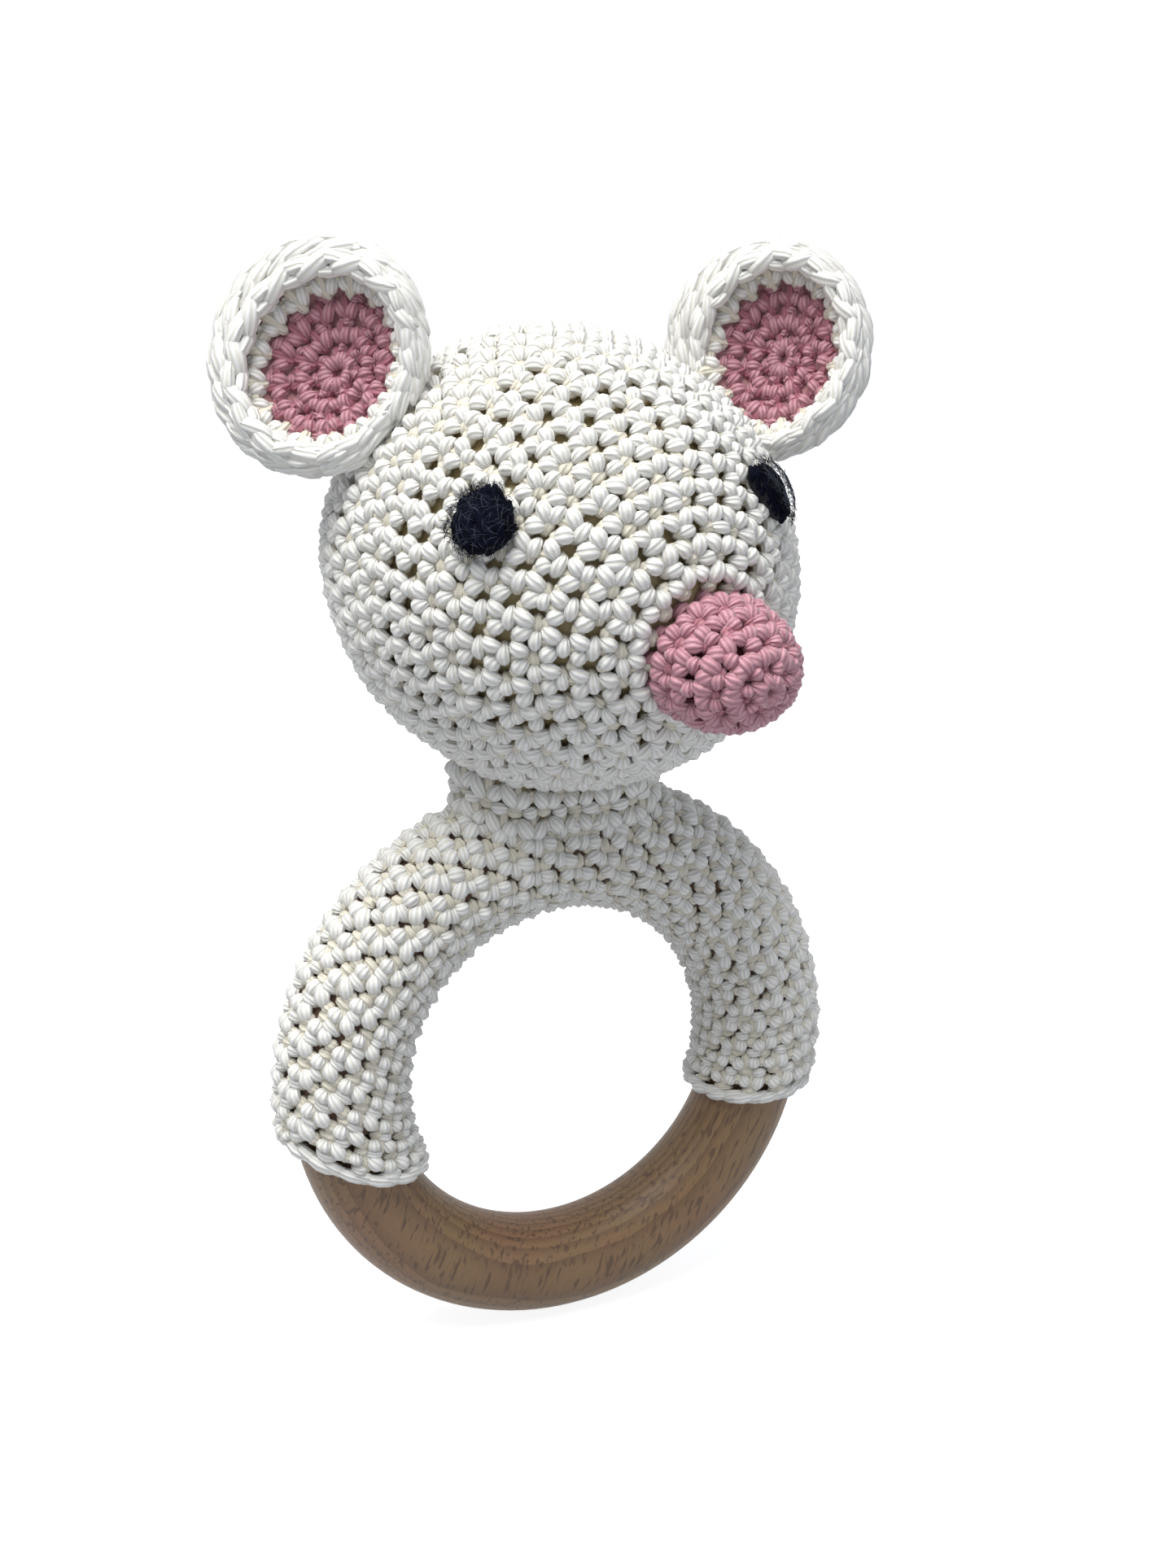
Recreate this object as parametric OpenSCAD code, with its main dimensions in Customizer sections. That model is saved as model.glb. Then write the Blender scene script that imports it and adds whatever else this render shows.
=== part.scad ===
// Crocheted mouse rattle on a beech teething ring.
// Origin at the centre of the wooden ring, ring axis along Y, head up (+Z), face towards -Y.
// The wooden ring turns freely inside the crocheted sleeve; everything else is sewn to the sleeve.

/* [Wooden ring] */
// Outer diameter of the beech ring
ring_d = 70; // [56:1:100]
// Diameter of the ring's round cross-section
ring_section_d = 12.5; // [9:0.5:16]

/* [Sleeve] */
// Running gap between the wood and the sleeve
sleeve_gap = 0.3; // [0.2:0.05:0.8]
// Thickness of the crocheted fabric of the sleeve
sleeve_wall = 1.8; // [1.2:0.1:3]
// Angle by which each sleeve end reaches below the ring's centre line, in degrees
sleeve_drop = 15; // [-20:1:50]
// Diameter of the chain-stitch strand along each sleeve end
edge_strand_d = 2.2; // [1.4:0.1:3]

/* [Head] */
// Greatest diameter of the head, across the face
head_d = 54.6; // [44:0.2:72]
// Length from the head's centre to the front of its egg shape, without the snout
head_front = 32.6; // [26:0.2:44]
// Length from the head's centre to its back
head_back = 28.2; // [22:0.2:40]
// Angle by which the face looks down, in degrees
head_nod = 11.5; // [0:0.5:18]
// Angle by which the face is turned to its own left, in degrees
head_turn = 9.5; // [-14:0.5:14]
// Thickness of the crocheted fabric of the head
head_wall = 2; // [1.2:0.1:3]
// Height by which the head is pressed into the sleeve at the neck
head_press = 0.2; // [0:0.05:1]

/* [Neck] */
// Width of the sewn neck along the ring
neck_w = 27; // [16:0.5:34]
// Depth of the sewn neck from front to back
neck_depth = 15; // [8:0.5:16]
// Height of the neck band above and below the place where head and sleeve meet
neck_reach = 5; // [2:0.5:8]

/* [Snout] */
// Diameter of the pink snout where it leaves the head
snout_d = 16; // [12:0.2:24]
// Length by which the snout stands out from its base
snout_len = 10; // [6:0.2:16]

/* [Ears] */
// Diameter of the ear over its braided rim
ear_d = 26.6; // [22:0.2:36]
// Diameter of the pink middle of the ear
ear_centre_d = 16; // [8:0.2:18]
// Radius of the ball surface that the cupped ear follows
ear_curve_r = 15; // [14:0.5:30]
// Thickness of the crocheted fabric of the ear
ear_wall = 1.8; // [1.2:0.1:3]
// Diameter of the braided strand around the ear's rim
ear_rim_d = 3.4; // [2:0.1:5]
// Depth by which the ear's edge is cut away where it is sewn to the head
ear_sink = 4.2; // [1:0.1:5]

/* [Eyes] */
// Diameter of the embroidered wool eye
eye_d = 7.6; // [6:0.2:12]
// Height by which the eye's wool stands above the fabric
eye_h = 1.2; // [0.8:0.1:2.5]

/* [Rattle] */
// Outer diameter of the hidden rattle capsule
capsule_d = 28; // [20:0.5:34]
// Wall of the rattle capsule
capsule_wall = 1.4; // [1:0.1:2.5]
// Height of the lip that centres the two capsule halves
capsule_lip = 1.6; // [0.8:0.1:3]
// Diameter of one rattle pellet
pellet_d = 4.8; // [3:0.1:6]
// Diameter of the circle on which the pellets lie
pellet_circle_d = 11; // [9.5:0.5:14]

/* [Hidden] */
$fn = 96;

fit_gap = 0.15;        // between sewn pieces of one body
soft_gap = 0.3;        // between the stuffing and what is around it
profile_step = 6;      // degrees between the points of the head's outline
curve_step = 10;       // degrees between the points of small outlines

ring_r = ring_section_d / 2;
ring_path_r = ring_d / 2 - ring_r;                 // circle that the section's centre follows
sleeve_in_r = ring_r + sleeve_gap;
sleeve_out_r = sleeve_in_r + sleeve_wall;
sleeve_top = ring_path_r + sleeve_out_r;
sleeve_sweep = 180 + 2 * sleeve_drop;

head_r = head_d / 2;
head_z = sleeve_top + head_r - head_press;
snout_r = snout_d / 2;
snout_base = head_front * sqrt(1 - pow(snout_r / head_r, 2));
snout_angle = asin(snout_r / head_r);              // outline angle at which the snout starts

capsule_r = capsule_d / 2;
capsule_in_r = capsule_r - capsule_wall;
pellet_r = pellet_d / 2;
pellet_path_r = capsule_in_r - pellet_r - soft_gap; // how far a pellet's centre can be from the capsule's
pellet_ring_r = pellet_circle_d / 2;
pellet_drop = sqrt(pow(pellet_path_r, 2) - pow(pellet_ring_r, 2));
pellet_count = 5;

ear_rim_r = ear_rim_d / 2;
ear_cup_r = ear_d / 2 - ear_rim_r;                 // rim strand's centre circle
ear_cup_angle = asin(ear_cup_r / ear_curve_r);
ear_strand_angle = asin((ear_rim_r + fit_gap) / ear_curve_r); // kept free beside the rim strand
ear_band_least = 6;                                // smallest angle that the white round keeps
ear_centre_angle =
    min(asin(ear_centre_d / 2 / ear_curve_r), ear_cup_angle - ear_strand_angle - ear_band_least);

// Directions from the head's centre, [degrees towards +X from straight ahead, degrees up].
eye_left_dir = [32, 16.3];
eye_right_dir = [-35.3, 15.4];
ear_left_dir = [90, 39];
ear_right_dir = [-93, 40.5];
// Directions in which each ear's open side looks.
ear_left_look = [-38, 16];
ear_right_look = [-38, 18];

function aim(dir) = [sin(dir[0]) * cos(dir[1]), -cos(dir[0]) * cos(dir[1]), sin(dir[1])];

// Share of a direction that lies along the snout's axis.
function along_snout(v) =
    v * [sin(head_turn) * cos(head_nod), -cos(head_turn) * cos(head_nod), -sin(head_nod)];

// Distance from the head's centre to its egg-shaped surface, along a direction.
function egg_reach(v) =
    let (ahead = along_snout(v), length = ahead > 0 ? head_front : head_back)
    1 / sqrt(pow(ahead / length, 2) + (1 - pow(ahead, 2)) / pow(head_r, 2));

// Right half of the egg's outline between two angles from the snout's axis.
function egg_outline(grow, from_angle, to_angle) =
    let (steps = ceil((to_angle - from_angle) / profile_step))
    [for (i = [0 : steps])
        let (t = from_angle + (to_angle - from_angle) * i / steps)
        [max(0, (head_r + grow) * sin(t)), ((t < 90 ? head_front : head_back) + grow) * cos(t)]];

function arc(radius, from_angle, to_angle) =
    let (steps = max(2, ceil(abs(to_angle - from_angle) / curve_step)))
    [for (i = [0 : steps])
        let (t = from_angle + (to_angle - from_angle) * i / steps)
        [radius * sin(t), radius * cos(t)]];

// Places children in the ring's plane, the sleeve's first end at the +X side.
module in_ring_plane() {
    rotate([90, 0, 0]) children();
}

module ring_torus(radius) {
    in_ring_plane() rotate_extrude() translate([ring_path_r, 0]) circle(radius);
}

// Places children, drawn around +Z as the snout's axis, at the head.
module at_head() {
    translate([0, 0, head_z]) rotate([90 + head_nod, 0, head_turn]) children();
}

// Solid egg of the head, grown by a clearance.
module head_egg(grow = 0) {
    at_head() rotate_extrude() polygon(egg_outline(grow, 0, 180));
}

// Turns children so that their +Z looks along a direction.
module look(dir) {
    rotate([90 - dir[1], 0, dir[0]]) children();
}

module wooden_ring() {
    color("burlywood") ring_torus(ring_r);
}

module sleeve() {
    color("whitesmoke")
        in_ring_plane() rotate([0, 0, -sleeve_drop])
            rotate_extrude(angle = sleeve_sweep)
                translate([ring_path_r, 0]) difference() {
                    circle(sleeve_out_r);
                    circle(sleeve_in_r);
                }
}

// Chain-stitch strand around the tube at one sleeve end; side is +1 at +X and -1 at -X.
module sleeve_edge(side) {
    strand_r = edge_strand_d / 2;
    strand_path_r = sleeve_out_r - strand_r + strand_r / 3;
    color("white")
        mirror([side < 0 ? 1 : 0, 0, 0])
            in_ring_plane() rotate([0, 0, -sleeve_drop])
                translate([ring_path_r, -strand_r - fit_gap / 2, 0]) rotate([90, 0, 0])
                    rotate_extrude() translate([strand_path_r, 0]) circle(strand_r, $fn = 32);
}

module sleeve_edge_left() { sleeve_edge(1); }

module sleeve_edge_right() { sleeve_edge(-1); }

// Sewn band that fills the saddle between the head's underside and the top of the sleeve.
module neck_collar() {
    color("whitesmoke") difference() {
        translate([0, 0, sleeve_top - neck_reach]) linear_extrude(2 * neck_reach) {
            square([neck_w - neck_depth, neck_depth], center = true);
            for (side = [-1, 1]) translate([side * (neck_w - neck_depth) / 2, 0]) circle(d = neck_depth);
        }
        head_egg(fit_gap);
        ring_torus(sleeve_out_r + fit_gap);
    }
}

module head_cover() {
    inner = egg_outline(-head_wall, snout_angle, 180);
    outer = egg_outline(0, snout_angle, 180);
    color("white") difference() {
        at_head() rotate_extrude() difference() {
            polygon(concat(outer, [[0, snout_base]]));
            polygon(concat(inner, [[0, snout_base + 1], [snout_r - head_wall, snout_base + 1]]));
        }
        ring_torus(sleeve_out_r + fit_gap);
    }
}

// Pink dome that closes the front of the head cover.
module snout_cover() {
    inner_r = snout_r - head_wall;
    color("lightpink") at_head() translate([0, 0, snout_base]) rotate_extrude() difference() {
        polygon(concat([[0, 0]], [for (p = arc(1, 0, 90)) [snout_r * p[0], snout_len * p[1]]]));
        polygon(concat([[0, -1]], [for (p = arc(1, 0, 90)) [inner_r * p[0], (snout_len - head_wall) * p[1]]],
            [[inner_r, -1]]));
    }
}

// Fibre filling of the head, hollow for the capsule.
module head_stuffing() {
    filling = head_wall + soft_gap;
    color("ivory") difference() {
        head_egg(-filling);
        translate([0, 0, head_z]) sphere(capsule_r + soft_gap);
        ring_torus(sleeve_out_r + filling);
    }
}

// Half of the hidden capsule, open towards +Z, with its centre at the origin.
module capsule_half() {
    difference() {
        sphere(capsule_r);
        sphere(capsule_in_r);
        translate([0, 0, capsule_r]) cube(2 * capsule_r, center = true);
    }
}

module lip_ring(height, in_r, out_r) {
    difference() {
        cylinder(h = height, r = out_r);
        translate([0, 0, -1]) cylinder(h = height + 2, r = in_r);
    }
}

module rattle_shell_lower() {
    middle_r = capsule_in_r + capsule_wall / 2;
    color("gold") translate([0, 0, head_z]) union() {
        capsule_half();
        lip_ring(capsule_lip, capsule_in_r, middle_r - fit_gap / 2);
    }
}

module rattle_shell_upper() {
    middle_r = capsule_in_r + capsule_wall / 2;
    color("orange") translate([0, 0, head_z]) difference() {
        rotate([180, 0, 0]) capsule_half();
        translate([0, 0, -1]) cylinder(h = 1 + capsule_lip + fit_gap, r = middle_r + fit_gap / 2);
    }
}

// One loose pellet, lying in the bottom of the capsule.
module pellet(index) {
    turn = 360 * index / pellet_count;
    color("firebrick")
        translate([pellet_ring_r * cos(turn), pellet_ring_r * sin(turn), head_z - pellet_drop])
            sphere(pellet_r, $fn = 48);
}

module pellet_1() { pellet(0); }

module pellet_2() { pellet(1); }

module pellet_3() { pellet(2); }

module pellet_4() { pellet(3); }

module pellet_5() { pellet(4); }

// Places children, drawn around +Z as the ear's open direction, at an ear. The cup's rim plane is
// at z = 0 there, and the cup hangs below it.
module at_ear(dir, look_dir) {
    out = aim(dir);
    reach = egg_reach(out) + ear_d / 2 - ear_sink;
    difference() {
        translate([0, 0, head_z]) translate(out * reach) look(look_dir) children();
        head_egg(fit_gap);
    }
}

// Part of a ball shell between two angles from its lowest point, its rim plane at z = 0.
module bowl_band(from_angle, to_angle) {
    out_r = ear_curve_r + ear_wall / 2;
    in_r = ear_curve_r - ear_wall / 2;
    mouth = ear_curve_r * cos(ear_cup_angle);
    translate([0, 0, mouth]) rotate([180, 0, 0]) rotate_extrude()
        polygon(concat(arc(out_r, from_angle, to_angle), arc(in_r, to_angle, from_angle)));
}

module ear_centre(dir, look_dir) {
    color("lightpink") at_ear(dir, look_dir) bowl_band(0, ear_centre_angle - 0.5);
}

module ear_cup(dir, look_dir) {
    color("white") at_ear(dir, look_dir) bowl_band(ear_centre_angle, ear_cup_angle - ear_strand_angle);
}

module ear_rim(dir, look_dir) {
    color("white") at_ear(dir, look_dir)
        rotate_extrude() translate([ear_cup_r, 0]) circle(ear_rim_r, $fn = 32);
}

module ear_left_centre() { ear_centre(ear_left_dir, ear_left_look); }

module ear_left_cup() { ear_cup(ear_left_dir, ear_left_look); }

module ear_left_rim() { ear_rim(ear_left_dir, ear_left_look); }

module ear_right_centre() { ear_centre(ear_right_dir, ear_right_look); }

module ear_right_cup() { ear_cup(ear_right_dir, ear_right_look); }

module ear_right_rim() { ear_rim(ear_right_dir, ear_right_look); }

// Domed wool pad of an embroidered eye, its back cut to the head's surface.
module eye(dir) {
    out = aim(dir);
    reach = egg_reach(out);
    rise = eye_h + reach - sqrt(pow(reach, 2) - pow(eye_d / 2, 2));
    dome = (pow(eye_d / 2, 2) + pow(rise, 2)) / (2 * rise);
    color("midnightblue") difference() {
        translate([0, 0, head_z]) translate(out * (reach + eye_h - dome)) sphere(dome);
        head_egg(fit_gap / 3);
    }
}

module eye_left() { eye(eye_left_dir); }

module eye_right() { eye(eye_right_dir); }

wooden_ring();
sleeve();
sleeve_edge_left();
sleeve_edge_right();
neck_collar();
head_cover();
snout_cover();
head_stuffing();
rattle_shell_lower();
rattle_shell_upper();
pellet_1();
pellet_2();
pellet_3();
pellet_4();
pellet_5();
ear_left_centre();
ear_left_cup();
ear_left_rim();
ear_right_centre();
ear_right_cup();
ear_right_rim();
eye_left();
eye_right();
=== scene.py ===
"""Crocheted mouse rattle on a beech teething ring.

Shapes are worked out in millimetres and turned to metres when a piece is finished.
"""

import math
import random

import bmesh
import bpy
import numpy as np
from mathutils import Matrix, Vector, noise


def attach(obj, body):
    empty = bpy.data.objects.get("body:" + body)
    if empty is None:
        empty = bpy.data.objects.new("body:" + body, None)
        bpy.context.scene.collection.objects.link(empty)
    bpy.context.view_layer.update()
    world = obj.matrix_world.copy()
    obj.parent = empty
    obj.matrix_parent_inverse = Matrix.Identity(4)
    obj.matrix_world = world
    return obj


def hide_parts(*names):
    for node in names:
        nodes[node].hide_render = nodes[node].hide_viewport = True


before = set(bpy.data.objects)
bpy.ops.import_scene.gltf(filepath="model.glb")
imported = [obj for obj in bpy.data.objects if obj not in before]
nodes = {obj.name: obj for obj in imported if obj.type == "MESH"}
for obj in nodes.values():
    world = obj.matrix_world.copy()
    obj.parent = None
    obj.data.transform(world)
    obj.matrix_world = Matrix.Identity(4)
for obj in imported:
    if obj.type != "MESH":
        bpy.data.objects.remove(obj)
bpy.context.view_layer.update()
rng = random.Random(11)

# ---------- Measures of the toy, in millimetres ----------
RING_PATH_R = 28.75        # circle that the centre of the wood's section follows
WOOD_R = 6.25
SLEEVE_R = 8.35            # outside of the sleeve's tube
SLEEVE_SKIN_R = 6.85       # backing under the sleeve's stitches
HEAD_MIDDLE = Vector((0, 0, 64.2))
HEAD_R = 27.3
HEAD_FRONT = 32.6
HEAD_BACK = 28.2
SNOUT_R = 8.0
SNOUT_LEN = 10.0
NOD = math.radians(11.5)
TURN = math.radians(9.5)
STITCH_W = 4.05            # one stitch along its round
STITCH_H = 3.25            # from one round to the next
YARN_D = 1.6               # how thick the yarn lies in a loop
PROUD = 0.45               # how far the crowns of the loops stand above the measured outline
MM = 0.001                 # one millimetre in metres

# ---------- How the yarn lies ----------
LOOP_WOBBLE = 0.07         # how far a strand's ends stray, as a share of the stitch
LOOP_SWELL = (0.92, 1.1)   # thinnest and thickest that a strand lies, against its own width
LOOP_SLACK = 0.15          # how much deeper than its place a strand may lie
UNDER_DEPTH = 0.5          # strands sunk deeper than this lie under the crowns
BURIED = 1000              # loop numbers from here on belong to strands under the crowns, which get a painted shade colour
LOOP_NUMBERS = 400         # the loops' numbers, and so their tones, are drawn from this many
UV_MARGIN = 0.002          # keeps the part of U within a loop clear of the whole numbers

AHEAD = Vector((math.sin(TURN) * math.cos(NOD), -math.cos(TURN) * math.cos(NOD), -math.sin(NOD)))
SIDE = Vector((math.cos(TURN), math.sin(TURN), 0))
CROWN = AHEAD.cross(SIDE)
SNOUT_BASE = HEAD_FRONT * math.sqrt(1 - (SNOUT_R / HEAD_R) ** 2)


# ---------- Camera ----------
CAMERA_PLACE = Vector((-86.98, -204.52, 98.40))
CAMERA_ROUND = math.radians(-24.088)     # round the toy, from straight ahead towards the mouse's left
CAMERA_ABOVE = math.radians(15.692)
CAMERA_ROLL = math.radians(-0.333)
CAMERA_SENSOR = 36
CAMERA_LENS = 43.11


def put_in_scene(name, data):
    """Adds an object to the scene."""
    thing = bpy.data.objects.new(name, data)
    bpy.context.scene.collection.objects.link(thing)
    return thing


def set_camera():
    """Camera in front of the toy, a little above it and to its right side."""
    data = bpy.data.cameras.new("camera")
    data.sensor_fit = "VERTICAL"
    data.sensor_height = CAMERA_SENSOR
    data.lens = CAMERA_LENS
    data.clip_start = 0.01
    data.clip_end = 20
    camera = put_in_scene("camera", data)
    turned = (
        Matrix.Rotation(CAMERA_ROUND, 4, "Z")
        @ Matrix.Rotation(math.pi / 2 - CAMERA_ABOVE, 4, "X")
        @ Matrix.Rotation(CAMERA_ROLL, 4, "Z")
    )
    camera.matrix_world = Matrix.Translation(CAMERA_PLACE * MM) @ turned
    bpy.context.scene.camera = camera


# ---------- Making pieces ----------
def finish_piece(bm, name, material, body, replaces=()):
    """Turns a bmesh in millimetres into a finished piece that rides on a body."""
    bmesh.ops.scale(bm, vec=(MM, MM, MM), verts=bm.verts)
    mesh = bpy.data.meshes.new(name)
    bm.to_mesh(mesh)
    bm.free()
    mesh.materials.append(material)
    mesh.polygons.foreach_set("use_smooth", [True] * len(mesh.polygons))
    piece = put_in_scene(name, mesh)
    if replaces:
        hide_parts(*replaces)
    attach(piece, body)
    return piece


def make_ball(around, along, place):
    """A ball whose points place(unit point) moves to where they belong."""
    bm = bmesh.new()
    bmesh.ops.create_uvsphere(bm, u_segments=around, v_segments=along, radius=1)
    for vert in bm.verts:
        vert.co = place(vert.co)
    bmesh.ops.recalc_face_normals(bm, faces=bm.faces)
    return bm


def make_loop(name, around, along, dip):
    """Template for one lying loop of yarn: unit half length along Z, crown towards +Y, ends dipped."""
    bm = bmesh.new()
    bm.loops.layers.uv.new("yarn")
    bmesh.ops.create_uvsphere(bm, u_segments=around, v_segments=along, radius=1, calc_uvs=True)
    for vert in bm.verts:
        vert.co.y -= dip * vert.co.z ** 2
    mesh = bpy.data.meshes.new(name)
    bm.to_mesh(mesh)
    bm.free()
    mesh.polygons.foreach_set("use_smooth", [True] * len(mesh.polygons))
    return mesh


crown_loop = make_loop("crown_loop", 8, 6, 0.7)
under_loop = make_loop("under_loop", 6, 4, 0.3)
fine_fibre = make_loop("fine_fibre", 3, 4, 9.0)


def lay(loops, start, end, out, width, height, sink=0.0, template=None):
    """Adds one loop of yarn between two points of the outline, its crown PROUD less sink above it."""
    along = end - start
    middle = (start + end) / 2 - out * (height / 2 + sink - PROUD)
    ahead = along.normalized()
    side = out.cross(ahead).normalized()
    up = ahead.cross(side)
    axes = (side * width / 2, up * height / 2, ahead * along.length / 2)
    place = Matrix.Translation(middle) @ Matrix(axes).transposed().to_4x4()
    loops.append((place, template or (crown_loop if sink < UNDER_DEPTH else under_loop)))


def work_stitch(loops, spot, strands, wobble=LOOP_WOBBLE):
    """Works one stitch. spot(across, along) gives a point and its outward direction in the stitch's
    cell, both from -0.5 to 0.5; each strand is its two ends, its width and how deep it lies."""
    for across_1, along_1, across_2, along_2, width, sink in strands:
        start, out_1 = spot(across_1 + rng.uniform(-wobble, wobble), along_1 + rng.uniform(-wobble, wobble))
        end, out_2 = spot(across_2 + rng.uniform(-wobble, wobble), along_2 + rng.uniform(-wobble, wobble))
        swell = rng.uniform(*LOOP_SWELL)
        depth = sink + rng.uniform(0, LOOP_SLACK)
        lay(loops, start, end, (out_1 + out_2).normalized(), width * swell, YARN_D, depth)


def yarn_piece(name, loops, material, body, replaces=()):
    """Joins laid loops into one piece; the whole part of each loop's U is its own number, and the
    numbers of the deeper strands start at BURIED."""
    bm = bmesh.new()
    for place, template in loops:
        one = template.copy()
        one.transform(place)
        bm.from_mesh(one)
        bpy.data.meshes.remove(one)
    piece = finish_piece(bm, name, material, body, replaces)
    layer = piece.data.uv_layers["yarn"].data
    coords = np.zeros(len(layer) * 2, np.float32)
    layer.foreach_get("uv", coords)
    numbers = [
        rng.randrange(LOOP_NUMBERS) + (BURIED if template is under_loop else 0) for _, template in loops
    ]
    shift = np.repeat(np.array(numbers, np.float32), [len(template.loops) for _, template in loops])
    coords[0::2] = coords[0::2] * (1 - 2 * UV_MARGIN) + UV_MARGIN + shift
    layer.foreach_set("uv", coords)
    return piece


# ---------- Materials ----------
def rgb(code):
    """Linear colour of an sRGB hex code."""
    parts = [int(code[i : i + 2], 16) / 255 for i in (1, 3, 5)]
    return (*[p / 12.92 if p <= 0.04045 else ((p + 0.055) / 1.055) ** 2.4 for p in parts], 1)


def add(tree, kind, inputs=None, **settings):
    """Adds a node with its settings; each input is a value or the socket it is linked from."""
    node = tree.nodes.new(kind)
    for key, value in settings.items():
        setattr(node, key, value)
    for key, value in (inputs or {}).items():
        if isinstance(value, bpy.types.NodeSocket):
            tree.links.new(value, node.inputs[key])
        else:
            node.inputs[key].default_value = value
    return node


def new_material(name):
    """An empty node material, and its tree."""
    material = bpy.data.materials.new(name)
    material.use_nodes = True
    material.node_tree.nodes.clear()
    return material, material.node_tree


def mix(tree, share, first, second):
    """Socket of the colour that lies a share of the way from one to another."""
    return add(tree, "ShaderNodeMix", {0: share, 6: first, 7: second}, data_type="RGBA").outputs[2]


def speckle(tree, place, scale, detail, roughness=0.5):
    """Socket of a noise, whose cells are one metre over its scale wide."""
    inputs = {"Vector": place, "Scale": scale, "Detail": detail, "Roughness": roughness}
    return add(tree, "ShaderNodeTexNoise", inputs).outputs[0]


def relief(tree, height, strength, depth, **settings):
    """Socket of the normal of a surface with this relief, its depth in millimetres."""
    inputs = {"Height": height, "Strength": strength, "Distance": depth * MM}
    return add(tree, "ShaderNodeBump", inputs, **settings).outputs[0]


def close_material(tree, inputs):
    """Adds the shader with its inputs, and the material's output."""
    shader = add(tree, "ShaderNodeBsdfPrincipled", inputs)
    add(tree, "ShaderNodeOutputMaterial", {"Surface": shader.outputs[0]})


YARN_TWIST = 7.0           # turns of the plies along one loop
CROWN_WIDTH = 0.6          # from the bottom of a groove, the share of the height that painted shade darkens
GROOVE_SHADE = 0.55        # how much of the groove's painted shade colour shows at its bottom
FIBRE_RELIEF = 0.35        # the fibres' height against the plies'


def spun_yarn(
    name, pale, deep, groove_shade_colour, under, roughness, sheen, plies=7, ply_depth=0.13, shine=0.5, glow=0.12
):
    """Plied yarn: each loop has its own tone, and twisted plies with grooves between them that painted shade
    darkens; the strands under the crowns take a painted shade colour. ply_depth is in millimetres."""
    material, tree = new_material(name)
    uv = add(tree, "ShaderNodeUVMap", uv_map="yarn")
    parts = add(tree, "ShaderNodeSeparateXYZ", {0: uv.outputs[0]})
    number = add(tree, "ShaderNodeMath", {0: parts.outputs[0]}, operation="FLOOR")
    tone = add(tree, "ShaderNodeTexWhiteNoise", {"W": number.outputs[0]}, noise_dimensions="1D")
    around = add(tree, "ShaderNodeMath", {0: parts.outputs[0], 1: plies * 2 * math.pi}, operation="MULTIPLY")
    turns = add(
        tree,
        "ShaderNodeMath",
        {0: parts.outputs[1], 1: YARN_TWIST, 2: around.outputs[0]},
        operation="MULTIPLY_ADD",
    )
    wave = add(tree, "ShaderNodeMath", {0: turns.outputs[0]}, operation="SINE")
    ply = add(tree, "ShaderNodeMapRange", {0: wave.outputs[0], 1: -1.0, 2: 1.0, 3: 0.0, 4: 1.0})
    place = add(tree, "ShaderNodeTexCoord").outputs["Object"]
    # Fibres a little under 0.2 mm apart, with finer ones between.
    fibres = speckle(tree, place, 5500.0, 3.0, 0.6)
    # Soft unevenness of the dye, about 8 mm wide.
    patches = speckle(tree, place, 120.0, 2.0)
    shade = add(tree, "ShaderNodeMath", {0: tone.outputs[0], 1: patches}, operation="MULTIPLY")
    crown_colour = mix(tree, shade.outputs[0], rgb(pale), rgb(deep))
    # Painted shade: strands under the crowns take the darker under colour in place of their own tone.
    under_shade_share = add(tree, "ShaderNodeMath", {0: parts.outputs[0], 1: float(BURIED)}, operation="GREATER_THAN")
    under_shaded_colour = mix(tree, under_shade_share.outputs[0], crown_colour, rgb(under))
    # Painted shade: the groove colour darkens the bottoms of the grooves between the plies.
    dark = add(
        tree, "ShaderNodeMapRange", {0: ply.outputs[0], 1: 0.0, 2: CROWN_WIDTH, 3: GROOVE_SHADE, 4: 0.0}
    )
    height = add(
        tree,
        "ShaderNodeMath",
        {0: fibres, 1: FIBRE_RELIEF, 2: ply.outputs[0]},
        operation="MULTIPLY_ADD",
    )
    close_material(
        tree,
        {
            "Base Color": mix(tree, dark.outputs[0], under_shaded_colour, rgb(groove_shade_colour)),
            "Roughness": roughness,
            "IOR": 1.5,
            "Specular IOR Level": shine,
            "Subsurface Weight": glow,
            "Subsurface Radius": (1.0, 0.95, 0.9),
            "Subsurface Scale": 0.0008,
            "Sheen Weight": sheen,
            "Sheen Roughness": 0.35,
            "Normal": relief(tree, height.outputs[0], 1.0, ply_depth),
        },
    )
    return material


# Mercerised cotton: off-white, silky highlights along the plies, warm painted shade in the grooves and on the
# strands under the crowns.
white_yarn = spun_yarn("mercerised_cotton_white", "#F4F4F2", "#E7E6E1", "#D2CCBC", "#E2DCCB", 0.44, 0.25)
# The same cotton dyed dusty rose, lighter on the crowns, with maroon painted shade between the plies and on
# the strands under the crowns.
pink_yarn = spun_yarn("mercerised_cotton_rose", "#CE99A5", "#BA8490", "#8C5262", "#B27480", 0.46, 0.25)
# The rose of the ears' rounds: a shade deeper than the snout's, which is painted shade for the ears' shaded
# cups.
shaded_pink_yarn = spun_yarn(
    "mercerised_cotton_rose_painted_shade", "#C48E9A", "#B07985", "#7A4250", "#A0606E", 0.48, 0.2
)
# Loosely spun wool, near black with a navy cast and a dull, hairy surface.
navy_wool = spun_yarn(
    "spun_wool_navy", "#090D1F", "#060916", "#020309", "#060916", 0.9, 0.03,
    plies=5, ply_depth=0.05, shine=0.08, glow=0.0,
)
# Single wool hairs that stand off the eyes and catch the light; their lighter slate colour is a painted
# highlight.
hair_highlight = spun_yarn(
    "wool_hairs_painted_highlight", "#4A6078", "#2A3648", "#1A2230", "#2A3648", 0.6, 0.1, plies=3, glow=0.0
)


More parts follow.
